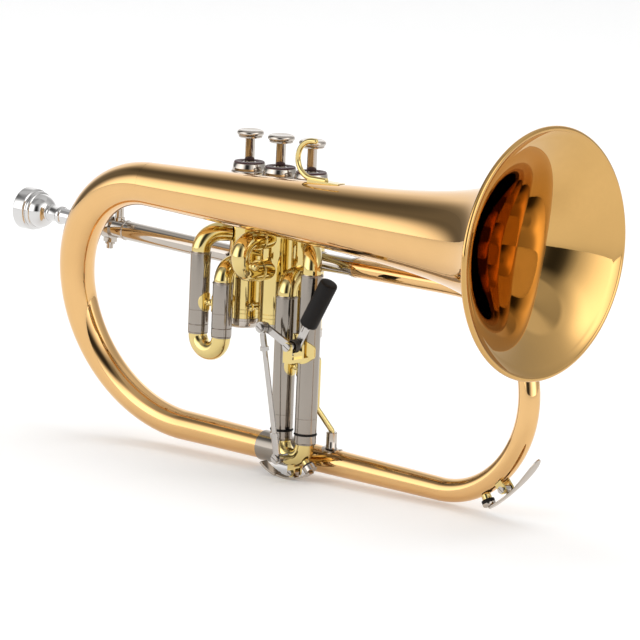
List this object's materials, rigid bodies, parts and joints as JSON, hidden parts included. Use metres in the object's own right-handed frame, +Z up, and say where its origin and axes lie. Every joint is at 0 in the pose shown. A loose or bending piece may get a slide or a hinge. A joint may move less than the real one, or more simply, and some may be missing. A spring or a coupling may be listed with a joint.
{
  "type": "flugelhorn",
  "caption": "Wide-bell brass horn with piston valves, vertical valve slides, a trigger on the third slide, water keys and a removable mouthpiece.",
  "frame": {"origin": "centre of the bell mouth, in the plane of the rim", "axes": "+X out of the bell along its axis, +Z up along the valves, +Y towards the valves, to the player's left"},
  "size_m": [0.4538, 0.1524, 0.246],
  "materials": {
    "rose": "polished rose brass under clear lacquer",
    "yellow": "polished yellow brass under clear lacquer",
    "nickel": "polished nickel silver under clear lacquer",
    "steel": "bright steel",
    "silver": "polished silver plate",
    "black": "matte black",
    "dark_spring": "blackened steel wire",
    "felt": "maroon wool felt"
  },
  "bodies": {
    "horn": {"bell": "rose", "rim_wire": "steel", "rear_bow": "rose", "bottom_ferrule": "nickel", "front_bow": "rose", "outlet_ferrule": "nickel", "valve_casing_1": "yellow", "valve_casing_2": "yellow", "valve_casing_3": "yellow", "intervalve_tubes": "yellow", "top_caps": "nickel", "bottom_caps": "nickel", "cap_felts": "felt", "valve_spring_1": "steel", "valve_spring_2": "steel", "valve_spring_3": "steel", "first_slide_knuckles": "yellow", "first_slide_sleeves": "nickel", "second_slide_sleeves": "yellow", "third_slide_knuckles": "yellow", "third_slide_sleeves": "nickel", "slide_braces": "yellow", "trigger_bracket": "yellow", "trigger_pivot_screw": "steel", "trigger_spring": "dark_spring", "front_key_saddle": "yellow", "front_key_screw": "steel", "receiver": "nickel", "clamp_collar": "nickel", "receiver_brace": "nickel", "bell_stays": "yellow", "bottom_brace": "yellow", "pinky_hook": "yellow"},
    "valve_1": {"piston_1": "nickel", "finger_button_1": "nickel"},
    "valve_2": {"piston_2": "nickel", "finger_button_2": "nickel"},
    "valve_3": {"piston_3": "nickel", "finger_button_3": "nickel"},
    "first_slide": {"first_slide_legs": "nickel", "first_slide_crook": "yellow"},
    "second_slide": {"second_slide_legs": "nickel", "second_slide_crook": "yellow"},
    "third_slide": {"third_slide_legs": "nickel", "third_slide_o_rings": "black", "third_slide_crook": "yellow", "third_key_saddle": "yellow", "third_key_screw": "steel", "lower_ball_screw": "steel"},
    "trigger": {"trigger_lever": "steel", "trigger_grip": "black", "upper_ball_screw": "steel"},
    "linkage": {"linkage_rod": "steel"},
    "third_water_key": {"third_key_lever": "nickel", "third_key_cork": "black"},
    "front_water_key": {"front_key_lever": "nickel", "front_key_cork": "black"},
    "tuning_slide": {"tuning_pipe": "yellow"},
    "mouthpiece_body": {"mouthpiece": "silver"},
    "clamp": {"clamp_screw": "nickel"}
  },
  "joints": [
    {"name": "valve_1_press", "type": "slide", "parent": "horn", "child": "valve_1", "axis": [0, 0, -1], "range_m": [0, 0.0135], "stiffness_N_per_m": 110, "springref_m": -0.022, "deforming": ["valve_spring_1"]},
    {"name": "valve_2_press", "type": "slide", "parent": "horn", "child": "valve_2", "axis": [0, 0, -1], "range_m": [0, 0.0135], "stiffness_N_per_m": 110, "springref_m": -0.022, "deforming": ["valve_spring_2"]},
    {"name": "valve_3_press", "type": "slide", "parent": "horn", "child": "valve_3", "axis": [0, 0, -1], "range_m": [0, 0.0135], "stiffness_N_per_m": 110, "springref_m": -0.022, "deforming": ["valve_spring_3"]},
    {"name": "first_slide_pull", "type": "slide", "parent": "horn", "child": "first_slide", "axis": [0, 0, -1], "range_m": [0, 0.018]},
    {"name": "second_slide_pull", "type": "slide", "parent": "horn", "child": "second_slide", "axis": [0, -1, 0], "range_m": [0, 0.0045]},
    {"name": "trigger_pull", "type": "hinge", "parent": "horn", "child": "trigger", "pos_m": [-0.1883, 0, -0.0825], "axis": [0, -1, 0], "range_deg": [0, 36.9], "stiffness_Nm_per_rad": 0.08, "springref_deg": -34.38},
    {"name": "third_slide_travel", "type": "slide", "parent": "horn", "child": "third_slide", "axis": [0, 0, -1], "range_m": [0, 0.0143]},
    {"name": "linkage_swing", "type": "hinge", "parent": "third_slide", "child": "linkage", "pos_m": [-0.2005, -0.0026, -0.1548], "axis": [0, -1, 0], "range_deg": [0, 1.6]},
    {"name": "third_key_press", "type": "hinge", "parent": "third_slide", "child": "third_water_key", "pos_m": [-0.1983, 0.0115, -0.1648], "axis": [0, 1, 0], "range_deg": [0, 12], "stiffness_Nm_per_rad": 0.02, "springref_deg": -34.38},
    {"name": "front_key_press", "type": "hinge", "parent": "horn", "child": "front_water_key", "pos_m": [-0.04585, 0.02995, -0.15229], "axis": [0, -1, 0], "range_deg": [0, 12], "stiffness_Nm_per_rad": 0.03, "springref_deg": -34.38},
    {"name": "tuning_pull", "type": "slide", "parent": "horn", "child": "tuning_slide", "axis": [-0.9995, 0, 0.0332], "range_m": [0, 0.025]},
    {"name": "mouthpiece_pull", "type": "slide", "parent": "tuning_slide", "child": "mouthpiece_body", "axis": [-0.9995, 0, 0.0332], "range_m": [0, 0.014]},
    {"name": "clamp_turn", "type": "hinge", "parent": "horn", "child": "clamp", "pos_m": [-0.37983, 0.034, -0.0475], "axis": [-0.0332, 0, -0.9995], "range_deg": [-180, 180]}
  ],
  "couplings": [
    {"joint": "trigger_pull", "follows": "third_slide_travel", "rad_per_m": 44.915},
    {"joint": "linkage_swing", "follows": "third_slide_travel", "rad_per_m": 1.8762}
  ]
}
